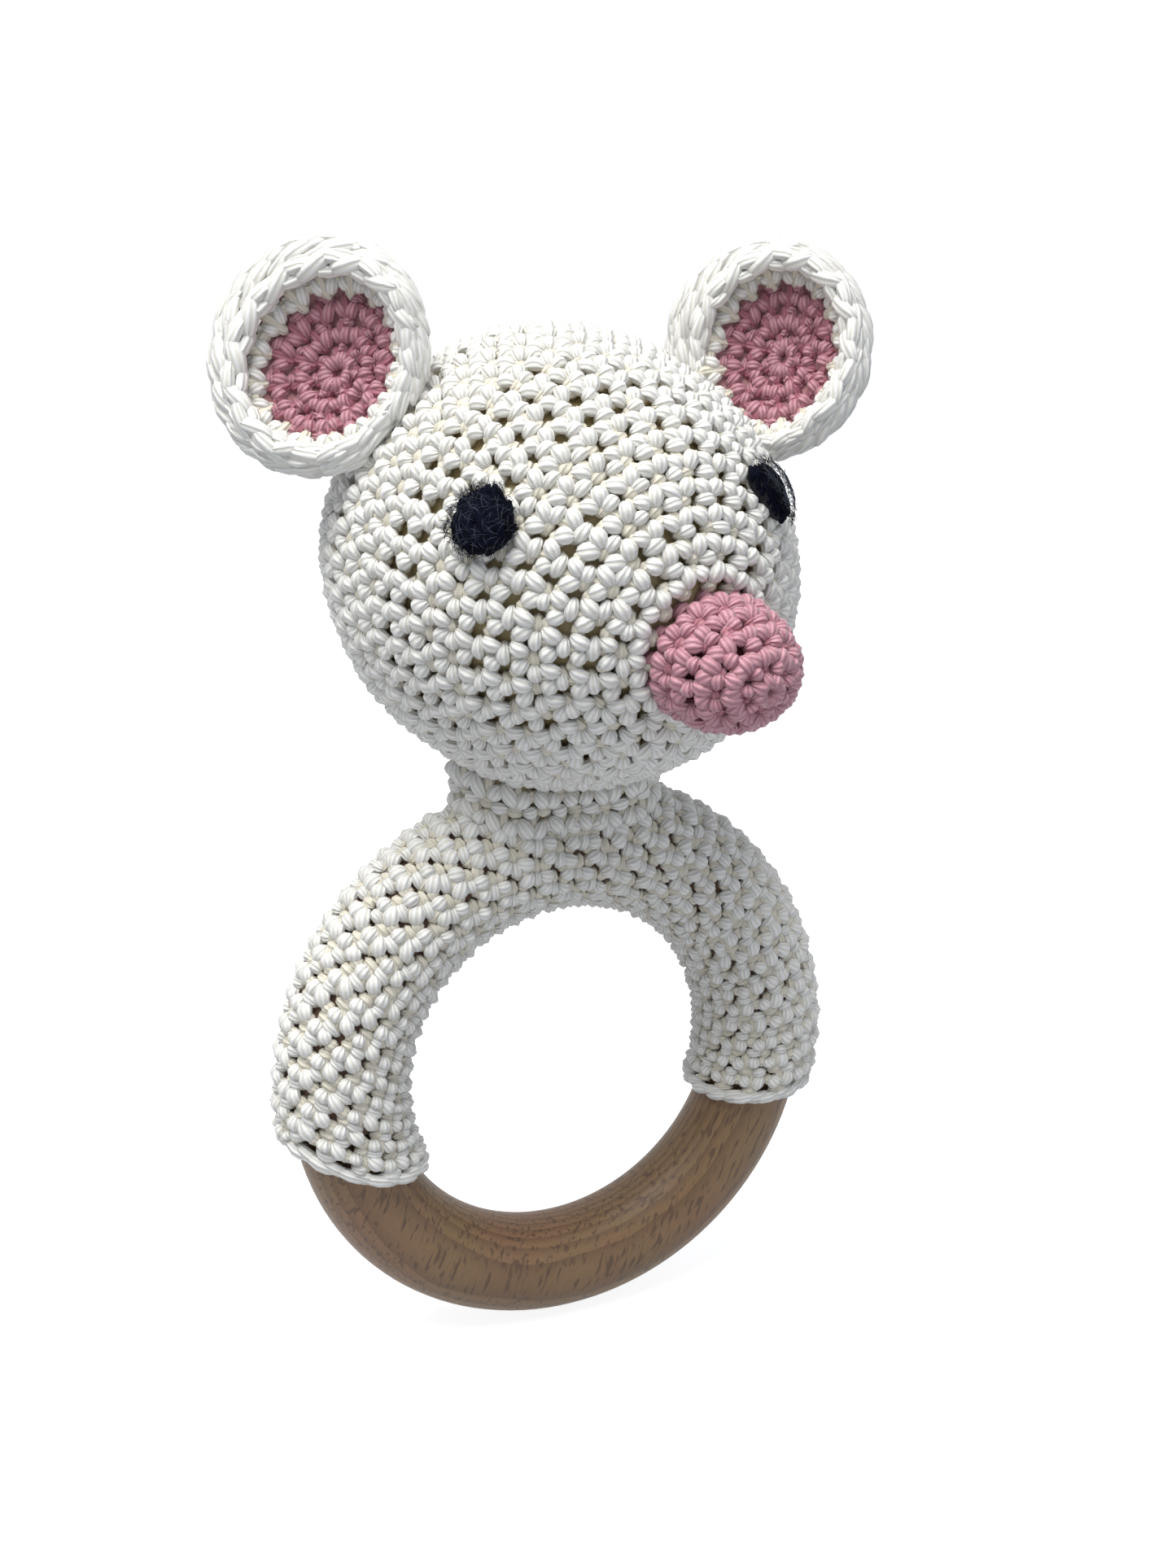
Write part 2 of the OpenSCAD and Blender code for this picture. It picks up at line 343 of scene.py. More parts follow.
def soft_backing(name, pale, deep):
    """Inside of the fabric that shows through the holes between stitches, in the colours given; for the
    yarn's holes these colours hold painted shade.
    """
    material, tree = new_material(name)
    place = add(tree, "ShaderNodeTexCoord").outputs["Object"]
    # Soft blots about 1 mm wide.
    blots = speckle(tree, place, 900.0, 4.0)
    colour = mix(tree, blots, rgb(pale), rgb(deep))
    close_material(tree, {"Base Color": colour, "Roughness": 0.9, "Normal": relief(tree, blots, 0.6, 0.3)})
    return material


# Inside of the white fabric over its filling: painted olive-tan shade in the depth of the holes.
head_hole_shade = soft_backing("filling_and_painted_shade_olive", "#D6C69C", "#AE9C6E")
# Inside of the ears' fabric: painted shade, the rose and white yarns as seen in each other's shade.
ear_hole_shade = soft_backing("painted_shade_rose", "#B98A8C", "#8E6265")
# Inside of the sleeve over the wood: the wood's brown, darkened by painted shade.
sleeve_hole_shade = soft_backing("wood_and_painted_shade_brown", "#85695A", "#5F4A3C")
# Inside of the pink rounds: deep maroon painted shade.
pink_hole_shade = soft_backing("painted_shade_maroon", "#8A4752", "#6B333D")
# Inside of the eyes: navy-black wool padding.
eye_backing = soft_backing("wool_padding_navy", "#0E1019", "#07080D")


GRAIN_LEAN = math.radians(-24)
GRAIN_STRETCH = 0.18       # flecks and fibres are drawn out along the grain by one over this


def make_beech():
    """Sanded and oiled beech: mid-brown with pinkish patches, dark leaning flecks along the grain, and
    growth layers parallel to the ring's face, whose lines crowd where the round section turns away."""
    material, tree = new_material("oiled_beech")
    place = add(tree, "ShaderNodeTexCoord").outputs["Object"]
    # Growth layers about 1 mm thick, waving a little.
    layers = add(
        tree,
        "ShaderNodeTexWave",
        {
            "Vector": place,
            "Scale": 300.0,
            "Distortion": 5.0,
            "Detail": 2.0,
            "Detail Scale": 0.2,
            "Phase Offset": 2.2,
        },
        wave_type="BANDS",
        bands_direction="Y",
        wave_profile="SAW",
    )
    turned = add(tree, "ShaderNodeMapping", {"Vector": place, "Rotation": (0, GRAIN_LEAN, 0)})
    along = add(tree, "ShaderNodeMapping", {"Vector": turned.outputs[0], "Scale": (1, 1, GRAIN_STRETCH)})
    grain = along.outputs[0]
    # Cells 0.5 mm across the grain and nearly 3 mm along it, of which only the peaks show as flecks.
    flecks = speckle(tree, grain, 2000.0, 1.0)
    fleck = add(tree, "ShaderNodeMapRange", {0: flecks, 1: 0.56, 2: 0.66, 3: 0.0, 4: 0.8})
    # Fine fibre of the wood, about 0.2 mm.
    fibre = speckle(tree, grain, 5000.0, 3.0)
    # Pinkish patches, about 14 mm wide.
    patches = speckle(tree, place, 70.0, 3.0)
    patch = add(tree, "ShaderNodeMapRange", {0: patches, 1: 0.4, 2: 0.65, 3: 0.0, 4: 1.0})
    ground = mix(tree, patch.outputs[0], rgb("#896D4B"), rgb("#90694E"))
    fibrous = mix(tree, fibre, ground, rgb("#70573A"))
    layer = add(tree, "ShaderNodeMapRange", {0: layers.outputs[0], 1: 0.35, 2: 1.0, 3: 0.0, 4: 0.72})
    lined = mix(tree, layer.outputs[0], fibrous, rgb("#5A4029"))
    colour = mix(tree, fleck.outputs[0], lined, rgb("#47301F"))
    bump = relief(tree, flecks, 0.25, 0.1, invert=True)
    close_material(tree, {"Base Color": colour, "Roughness": 0.5, "IOR": 1.5, "Normal": bump})
    return material


beech = make_beech()


def moulded_plastic(name, code, roughness):
    """Moulded plastic with a faint mottling from the mould, a little over 1 mm wide."""
    material, tree = new_material(name)
    mottle = speckle(tree, add(tree, "ShaderNodeTexCoord").outputs["Object"], 800.0, 2.0)
    colour = add(tree, "ShaderNodeHueSaturation", {"Value": mottle, "Color": rgb(code)})
    tint = mix(tree, 0.15, rgb(code), colour.outputs[0])
    bump = relief(tree, mottle, 0.2, 0.1)
    close_material(tree, {"Base Color": tint, "Roughness": roughness, "IOR": 1.49, "Normal": bump})
    return material


# Polypropylene rattle capsule, milky and half matt.
capsule_plastic = moulded_plastic("polypropylene_capsule", "#DAD9D1", 0.45)
# Polystyrene pellets, red-brown and a little glossy.
pellet_plastic = moulded_plastic("polystyrene_pellets", "#C0503F", 0.35)


# ---------- Head ----------
HEAD_SKIN_DEPTH = 2.4      # the filled form lies this far under the crowns of the stitches
HEAD_SETTLE = 0.45         # the head's loops lie lower, so that their crowns keep to its outline
HEAD_FIRST_ROUND = 7.6     # length along the outline, from under the snout, at which the rounds begin
ROUND_SHIFT = 0.5          # each round starts this many stitches further on, give or take the slack
ROUND_SLACK = 0.08
POLE_GAP = 0.3             # the last round stops this short of the back's middle
LUMP_WIDTH = 11.0          # how wide the stuffing's lumps are
LUMP_HEIGHT = 0.5          # the most that they push the fabric out or let it sink


def egg_half(height):
    """Half length of the egg on the side that a height along the snout's axis lies."""
    return HEAD_FRONT if height > 0 else HEAD_BACK


def egg_point(turn):
    """Height along the snout's axis and radius about it, at an angle from the snout."""
    length = HEAD_FRONT if turn < math.pi / 2 else HEAD_BACK
    return length * math.cos(turn), HEAD_R * math.sin(turn)


def egg_normal(point, height):
    """Outward direction of the egg at a point, whose height along the snout's axis is known."""
    across = (point - HEAD_MIDDLE - AHEAD * height) / HEAD_R**2
    return (across + AHEAD * height / egg_half(height) ** 2).normalized()


def walk(outline, last, steps=720):
    """Lengths along an outline, for looking up the outline's parameter at a length."""
    lengths = [0.0]
    before = outline(0)
    for step in range(1, steps + 1):
        here = outline(last * step / steps)
        lengths.append(lengths[-1] + math.dist(before, here))
        before = here
    return lambda length: float(np.interp(length, lengths, np.linspace(0, last, steps + 1))), lengths[-1]


egg_turn_at, egg_length = walk(egg_point, math.pi)


def on_axis(height, radius, angle):
    """Point at a height along the snout's axis, and a radius and angle about it."""
    return HEAD_MIDDLE + AHEAD * height + (SIDE * math.cos(angle) + CROWN * math.sin(angle)) * radius


def in_egg(point, grow=0.0):
    """True inside the head's egg shape, grown by a distance."""
    away = point - HEAD_MIDDLE
    ahead = away.dot(AHEAD)
    length = egg_half(ahead) + grow
    return (ahead / length) ** 2 + (away.length_squared - ahead**2) / (HEAD_R + grow) ** 2 < 1


def in_sleeve(point, grow=0.0):
    """True inside the sleeve's tube, grown by a distance."""
    return math.hypot(math.hypot(point.x, point.z) - RING_PATH_R, point.y) < SLEEVE_R + grow


def lump(point):
    """How far the hand-packed stuffing moves the fabric at a point, outwards from the head's middle."""
    return (point - HEAD_MIDDLE).normalized() * LUMP_HEIGHT * noise.noise(point / LUMP_WIDTH)


def make_head_form():
    """Filled form under the head's stitches: an egg of fabric over slightly lumpy stuffing."""

    def place(unit):
        """Point of the form for a point of the unit ball, whose Z points to the snout."""
        height = unit.z * (egg_half(unit.z) - HEAD_SKIN_DEPTH)
        across = (SIDE * unit.x + CROWN * unit.y) * (HEAD_R - HEAD_SKIN_DEPTH)
        point = HEAD_MIDDLE + AHEAD * height + across
        return point + lump(point)

    ball = make_ball(64, 40, place)
    return finish_piece(ball, "head_filling_form", head_hole_shade, "toy", ["head_stuffing"])


head_form = make_head_form()

# A leaning stitch: a strand along the working direction, a steeper one, the loop across the top,
# and the strands that lie deeper and fill the fabric up to its holes. Each strand is its two ends
# across and along the stitch's cell, its width and how deep it lies.
HEAD_STRANDS = (
    (-0.06, -0.47, -0.38, 0.26, 1.9, 0.0),
    (0.08, -0.43, 0.44, 0.18, 1.9, 0.05),
    (-0.34, 0.42, 0.26, 0.46, 1.65, 0.12),
    (-0.04, -0.60, 0.04, 0.50, 1.9, 0.75),
    (0.24, -0.04, 0.72, 0.06, 1.9, 0.7),
    (-0.34, -0.50, 0.30, -0.58, 1.7, 0.75),
)


def head_rounds():
    """Stitches of the head, worked from the snout to the back: front half and back half."""
    front, back = [], []
    first = HEAD_FIRST_ROUND + STITCH_H / 2
    count = round((egg_length - first) / STITCH_H)
    drift = 0.0
    for number in range(count):
        length = first + number * STITCH_H
        turn = egg_turn_at(length)
        radius = egg_point(turn)[1]
        stitches = max(5, round(2 * math.pi * radius / STITCH_W))
        drift += ROUND_SHIFT + rng.uniform(-ROUND_SLACK, ROUND_SLACK)
        for stitch in range(stitches):
            middle = (stitch + drift) / stitches * 2 * math.pi

            def spot(across, along):
                """Point on the head's outside."""
                here = egg_turn_at(min(length + along * STITCH_H, egg_length - POLE_GAP))
                height, around = egg_point(here)
                angle = middle + across * 2 * math.pi / stitches
                point = on_axis(height, around, angle)
                out = egg_normal(point, height)
                return point + lump(point) - out * HEAD_SETTLE, out

            # Where the sleeve's tube lies against the head, there are no stitches.
            if not in_sleeve(spot(0, 0)[0], 0.5):
                work_stitch(front if turn < math.pi / 2 else back, spot, HEAD_STRANDS)
    return front, back


front_loops, back_loops = head_rounds()
yarn_piece("head_front_stitches", front_loops, white_yarn, "toy", ["head_cover"])
yarn_piece("head_back_stitches", back_loops, white_yarn, "toy")


# ---------- Snout ----------
SNOUT_PROUD = 0.1          # how far the plump snout stitches stand proud of the plain dome
SNOUT_WIDE = 1.04          # the stuffed snout is a little wider than high and hangs down a little
SNOUT_HIGH = 0.92
SNOUT_SAG = SIDE * 1.2 - CROWN * 1.2
SNOUT_FULLNESS = 0.82      # 1 is a round dome; less fills out its shoulders
SNOUT_START = 0.4          # turn of the first stitch about the snout's axis
SNOUT_HOLE = 0.25          # the tip's loops are pulled together to this far from its middle
SNOUT_SET_IN = 3           # how far the form reaches into the head


def shape_snout(point):
    """Point of the plain dome, moved to where the stuffed snout really has it."""
    away = point - HEAD_MIDDLE
    side, crown = away.dot(SIDE), away.dot(CROWN)
    return point + SIDE * side * (SNOUT_WIDE - 1) + CROWN * crown * (SNOUT_HIGH - 1) + SNOUT_SAG


def snout_outline(turn):
    """Height along the axis and radius of the snout's dome, from its tip."""
    full = math.sin(min(turn, math.pi / 2)) ** SNOUT_FULLNESS
    return SNOUT_BASE + (SNOUT_LEN + SNOUT_PROUD) * math.cos(turn), (SNOUT_R + SNOUT_PROUD) * full


snout_turn_at, snout_length = walk(snout_outline, math.pi / 2)
# Each round's stitches, its middle's length from the tip, and how tall its stitches are.
SNOUT_ROUNDS = ((7, 1.5, 3.6), (11, 4.9, 3.4), (13, 8.2, 3.3), (14, 11.4, 3.3), (14, 14.6, 3.3))


def make_snout():
    """Pink dome: a pulled-together ring of loops at its tip, then rounds down to the head."""
    loops = []
    for number, (stitches, length, tall) in enumerate(SNOUT_ROUNDS):
        for stitch in range(stitches):
            middle = (stitch + number * ROUND_SHIFT) / stitches * 2 * math.pi + SNOUT_START

            def spot(across, along):
                """Point on the snout's outside."""
                here = snout_turn_at(max(SNOUT_HOLE, length + along * tall))
                height, around = snout_outline(here)
                height -= max(0, length + along * tall - snout_length)
                angle = middle + across * 2 * math.pi / stitches
                point = on_axis(height, around, angle)
                tip = AHEAD * (height - SNOUT_BASE) / SNOUT_LEN**2
                rim = (point - HEAD_MIDDLE - AHEAD * height) / SNOUT_R**2
                return shape_snout(point), (tip + rim).normalized()

            work_stitch(loops, spot, HEAD_STRANDS)
    yarn_piece("snout_stitches", loops, pink_yarn, "toy", ["snout_cover"])


def make_snout_form():
    """Filled dome under the snout's stitches."""

    def place(unit):
        """Point of the form for a point of the unit ball, whose Z points to the tip."""
        height = SNOUT_BASE + unit.z * (SNOUT_LEN - YARN_D if unit.z > 0 else SNOUT_SET_IN)
        across = (SIDE * unit.x + CROWN * unit.y) * (SNOUT_R - YARN_D)
        return shape_snout(HEAD_MIDDLE + AHEAD * height + across)

    return finish_piece(make_ball(40, 24, place), "snout_filling_form", pink_hole_shade, "toy")


make_snout()
snout_form = make_snout_form()


# ---------- Sleeve ----------
SLEEVE_ROWS = 36
SLEEVE_AROUND = 12.6       # stitches around the tube; the part over makes the round climb like a screw
SLEEVE_SLIP = 0.2          # how many stitches a row may slip round the tube
SLEEVE_PLUMP = 0.15        # how much wider the strands lie on the ring's outer side
# Where the rows start and end, in rows: the part rounds there close the wedges of the climb.
SLEEVE_FIRST, SLEEVE_LAST = -0.4, SLEEVE_ROWS + 0.1
# Ring angle of each end in degrees, and how far its slant takes the ring's outer side from it.
SLEEVE_ENDS = ((-15.5, 5.0), (196.0, -10.5))
SLEEVE_STRANDS = (
    (-0.12, -0.42, -0.32, 0.30, 1.85, 0.0),
    (0.12, -0.40, 0.36, 0.24, 1.85, 0.0),
    (-0.48, 0.36, 0.04, 0.46, 1.5, 0.25),
    (-0.02, -0.58, 0.02, 0.52, 1.9, 0.6),
    (0.24, 0.00, 0.70, 0.12, 1.65, 0.55),
    (-0.30, -0.50, 0.28, -0.57, 1.6, 0.6),
)


def sleeve_end(turn, end):
    """Ring angle of a sleeve end, in degrees, at an angle about the tube; the ends are slanted."""
    middle, slant = SLEEVE_ENDS[end]
    return middle + slant * math.cos(turn)


def sleeve_spot(ring_angle, turn, radius=SLEEVE_R):
    """Point on the sleeve's tube and its outward direction; turn 0 is the ring's outer side."""
    away = Vector((math.cos(ring_angle), 0, math.sin(ring_angle)))
    out = away * math.cos(turn) + Vector((0, -1, 0)) * math.sin(turn)
    return away * RING_PATH_R + out * radius, out


def make_sleeve():
    """Rounds of stitches across the tube, from one end to the other."""
    loops = []
    total = round(SLEEVE_ROWS * SLEEVE_AROUND)
    slips = [rng.uniform(-SLEEVE_SLIP, SLEEVE_SLIP) for _ in range(SLEEVE_ROWS + 2)]
    for number in range(-round(SLEEVE_AROUND), total + round(SLEEVE_AROUND)):
        row = number / SLEEVE_AROUND
        if not SLEEVE_FIRST < row < SLEEVE_LAST:
            continue
        slip = float(np.interp(row, range(len(slips)), slips))
        middle = 2 * math.pi * (number + slip) / SLEEVE_AROUND

        def spot(across, along):
            """Point on the sleeve's outside."""
            turn = middle + across * 2 * math.pi / SLEEVE_AROUND
            share = max(0.0, min(1.0, (row + 0.5 + along) / (SLEEVE_ROWS + 0.5)))
            low, high = sleeve_end(turn, 0), sleeve_end(turn, 1)
            return sleeve_spot(math.radians(low + (high - low) * share), turn)

        if in_egg(spot(0, 0)[0]):
            continue
        # The rows spread on the ring's outer side, where the yarn is slacker and plumper.
        plump = 1 + SLEEVE_PLUMP * math.cos(middle)
        work_stitch(loops, spot, [(*strand[:4], strand[4] * plump, strand[5]) for strand in SLEEVE_STRANDS])
    yarn_piece("sleeve_stitches", loops, white_yarn, "toy", ["sleeve"])


LINING = 0.2               # how thick the linings and cores are
LINING_START = math.radians(10)
LINING_SPAN = math.radians(195)


def make_sleeve_lining():
    """Thin lining tube under the sleeve's stitches, just clear of the wood; its brown is the wood's colour
    darkened by painted shade.
    """
    bm = bmesh.new()
    bmesh.ops.create_circle(bm, segments=40, radius=SLEEVE_SKIN_R)
    bmesh.ops.translate(bm, vec=(RING_PATH_R, 0, 0), verts=bm.verts)
    bmesh.ops.spin(
        bm,
        geom=bm.verts[:] + bm.edges[:],
        cent=(0, 0, 0),
        axis=(0, 1, 0),
        angle=-LINING_SPAN,
        steps=90,
        use_merge=False,
    )
    bmesh.ops.rotate(bm, cent=(0, 0, 0), matrix=Matrix.Rotation(LINING_START, 3, "Y"), verts=bm.verts)
    bmesh.ops.recalc_face_normals(bm, faces=bm.faces)
    for face in bm.faces:
        middle = face.calc_center_median()
        away = Vector((middle.x, 0, middle.z)).normalized() * RING_PATH_R
        if face.normal.dot(middle - away) < 0:
            face.normal_flip()
    bmesh.ops.solidify(bm, geom=bm.faces[:], thickness=LINING)
    finish_piece(bm, "sleeve_lining", sleeve_hole_shade, "toy")


make_sleeve()
make_sleeve_lining()

EDGE_LINKS = 15
# Each strand of a link: its shift round the tube, in links, and how far it lies out from the last
# round and in from the outline.
EDGE_ROWS = ((0.0, 0.35, 0.0), (0.5, 0.05, 0.15), (0.25, 0.55, 0.75))
EDGE_STRAND = (-0.56, -0.38, 0.56, 0.42, 1.45, 0.0)


def make_sleeve_edge(name, end, node):
    """Scalloped chain around the tube at a sleeve end: three slanted strands to each link."""
    loops = []
    step = 2 * math.pi / EDGE_LINKS
    sign = -1 if end == 0 else 1
    for link in range(EDGE_LINKS):
        turn = link * step
        for shift, lift, deep in EDGE_ROWS:

            def spot(across, along):
                """Point on the edge strand's outside."""
                here = turn + (across + shift) * step
                reach = RING_PATH_R + SLEEVE_R * math.cos(here)
                middle = math.radians(sleeve_end(here, end)) + sign * (lift + along) / reach
                return sleeve_spot(middle, here, SLEEVE_R - deep)

            work_stitch(loops, spot, (EDGE_STRAND,), wobble=0.06)
    yarn_piece(name, loops, white_yarn, "toy", [node])


make_sleeve_edge("sleeve_edge_left_chain", 0, "sleeve_edge_left")
make_sleeve_edge("sleeve_edge_right_chain", 1, "sleeve_edge_right")


# ---------- Neck ----------
NECK_W = 27.0
NECK_DEPTH = 15.0
NECK_STRAIGHT = NECK_W - NECK_DEPTH
NECK_ROUNDS = 2
NECK_LAP = 0.8             # how far the wall laps over the sleeve and over the head
NECK_LOW, NECK_HIGH = 30.0, 44.0     # heights between which the wall's ends are looked for
NECK_TIGHT = (36.9, 37.1)  # the wall's ends where the sleeve and the head leave no room for it
CORE_FOOT = 33.5
CORE_TALL = 7


def neck_outline(length):
    """Point and outward direction at a length along the neck's rounded outline."""
    radius = NECK_DEPTH / 2
    straight = NECK_STRAIGHT
    bend = math.pi * radius
    length %= 2 * (straight + bend)
    if length < straight:
        middle, out = Vector((length - straight / 2, 0, 0)), Vector((0, -1, 0))
    elif length < straight + bend:
        angle = (length - straight) / radius - math.pi / 2
        middle, out = Vector((straight / 2, 0, 0)), Vector((math.cos(angle), math.sin(angle), 0))
    elif length < 2 * straight + bend:
        middle, out = Vector((straight / 2 - (length - straight - bend), 0, 0)), Vector((0, 1, 0))
    else:
        angle = (length - 2 * straight - bend) / radius + math.pi / 2
        middle, out = Vector((-straight / 2, 0, 0)), Vector((math.cos(angle), math.sin(angle), 0))
    return middle + out * radius, out


def neck_heights(point):
    """Heights at which the neck's wall meets the sleeve below and the head above."""
    column = [NECK_LOW + 0.1 * step for step in range(round((NECK_HIGH - NECK_LOW) * 10))]
    places = [Vector((point.x, point.y, height)) for height in column]
    free = [
        height for height, place in zip(column, places) if not in_sleeve(place) and not in_egg(place)
    ]
    return (free[0], free[-1]) if free else NECK_TIGHT


def make_neck():
    """Rounds of stitches that sew the head to the sleeve."""
    loops = []
    around = 2 * NECK_STRAIGHT + math.pi * NECK_DEPTH
    stitches = round(around / STITCH_W)
    for number in range(NECK_ROUNDS):
        for stitch in range(stitches):
            middle = (stitch + ROUND_SHIFT * number) * around / stitches

            def spot(across, along):
                """Point on the neck's wall."""
                point, out = neck_outline(middle + across * around / stitches)
                low, high = neck_heights(point)
                share = (number + 0.5 + along) / NECK_ROUNDS
                height = low - NECK_LAP + (high - low + 2 * NECK_LAP) * share
                return Vector((point.x, point.y, height)), out

            work_stitch(loops, spot, HEAD_STRANDS)
    yarn_piece("neck_stitches", loops, white_yarn, "toy", ["neck_collar"])


def make_neck_core():
    """Plain core inside the neck's stitches, so that no light falls through them."""
    bm = bmesh.new()
    bmesh.ops.create_circle(bm, cap_ends=True, segments=40, radius=NECK_DEPTH / 2 - YARN_D)
    for vert in bm.verts:
        vert.co.x += math.copysign(NECK_STRAIGHT / 2, vert.co.x)
        vert.co.z = CORE_FOOT
    raised = bmesh.ops.extrude_face_region(bm, geom=bm.faces[:])
    lifted = [v for v in raised["geom"] if isinstance(v, bmesh.types.BMVert)]
    bmesh.ops.translate(bm, vec=(0, 0, CORE_TALL), verts=lifted)
    bmesh.ops.recalc_face_normals(bm, faces=bm.faces)
    finish_piece(bm, "neck_core", head_hole_shade, "toy")


make_neck()
make_neck_core()


# ---------- Ears ----------
EAR_D = 26.6
EAR_SINK = 4.2
EAR_TALL = 1.06            # the soft ears are drawn a little taller than round
EAR_LIFT = 0.5
EAR_WALL = 0.95            # from the middle of the ear's fabric to each of its faces
EAR_MOUTH = 13.0           # length along the fabric at which the cup is widest open
EAR_MOUTH_NARROW = 0.92    # how narrow the cup is there, in the direction in which it is pushed over
EAR_PUSH = 1.9             # how far the cup's middle is pushed over
EAR_MOUTH_PUSH = 0.9       # how much less its mouth is
EAR_CORE_LENGTH = 11.0     # the core ends here, well inside the edge
HEM_LENGTH = 12.2          # where the braid lies along the fabric
HEM_FORWARD = 0.7          # how far the braid lies in front of it
HEM_BACK = 0.9             # how far the curled outer side lies behind the ear's middle plane
HEM_INSET = 1.3            # and in from the ear's outside
HEM_SEWN = (1.9, 1.5)      # how far back both are drawn where the ear is sewn to the head
HEM_THIN = 0.45            # how much thinner the edge is there
SEWN_FROM, SEWN_OVER = 0.25, 0.4     # where along the way to the head that begins, and how gradually
# The edge's rings of strands: share of the way from the braid to the outer side, radius of the
# ring's section, links round it, and for each row its facing in degrees, shift in links and slant.
HEM_RINGS = (
    (0.0, 1.6, 14, ((-30, 0.0, 1), (45, 0.5, -1), (120, 0.0, 1), (195, 0.5, -1))),
    (0.62, 1.6, 15, ((-20, 0.0, 1), (60, 0.5, 1), (140, 0.0, 1), (220, 0.5, 1), (280, 0.0, 1))),
    (1.0, 1.35, 15, ((-70, 0.0, 1), (5, 0.5, 1), (80, 0.0, 1), (200, 0.5, 1))),
)
HEM_REACH = (0.56, 0.62)   # half length of a strand round the edge, and how far it slants over
HEM_STRAND_W = 2.1
# The cupped ear's fabric from its deepest place: length along it, radius, height from the rim's plane.
EAR_PROFILE = (
    (0, 0, -4.4), (2.9, 2.9, -4.2), (5.7, 5.6, -3.7), (8.4, 8.1, -2.8), (10.2, 9.6, -1.8),
    (11.6, 10.5, -0.7), (13.2, 11.0, 0.8),
)
# Each round's colour, its stitches, its middle's length along the fabric, and how tall they are.
EAR_ROUNDS = (("pink", 7, 1.7, 3.2), ("pink", 10, 4.6, 3.0), ("pink", 13, 7.3, 2.9), ("white", 16, 10.0, 3.2))
# Shorter, plumper strands than the head's, because the ear's rounds are small.
EAR_STRANDS = (
    (-0.06, -0.46, -0.38, 0.34, 1.6, 0.0),
    (0.10, -0.42, 0.34, 0.30, 1.6, 0.1),
    (-0.50, 0.30, 0.00, 0.48, 1.3, 0.3),
    (-0.02, -0.58, 0.02, 0.50, 1.8, 0.6),
    (0.24, 0.00, 0.72, 0.10, 1.7, 0.6),
)


def aim(degrees_left, degrees_up):
    """Direction from angles towards the mouse's left and up, from straight ahead."""
    left, up = math.radians(degrees_left), math.radians(degrees_up)
    return Vector((math.sin(left) * math.cos(up), -math.cos(left) * math.cos(up), math.sin(up)))


def egg_reach(out):
    """Distance from the head's middle to its surface along a direction."""
    ahead = out.dot(AHEAD)
    return 1 / math.sqrt((ahead / egg_half(ahead)) ** 2 + (1 - ahead**2) / HEAD_R**2)


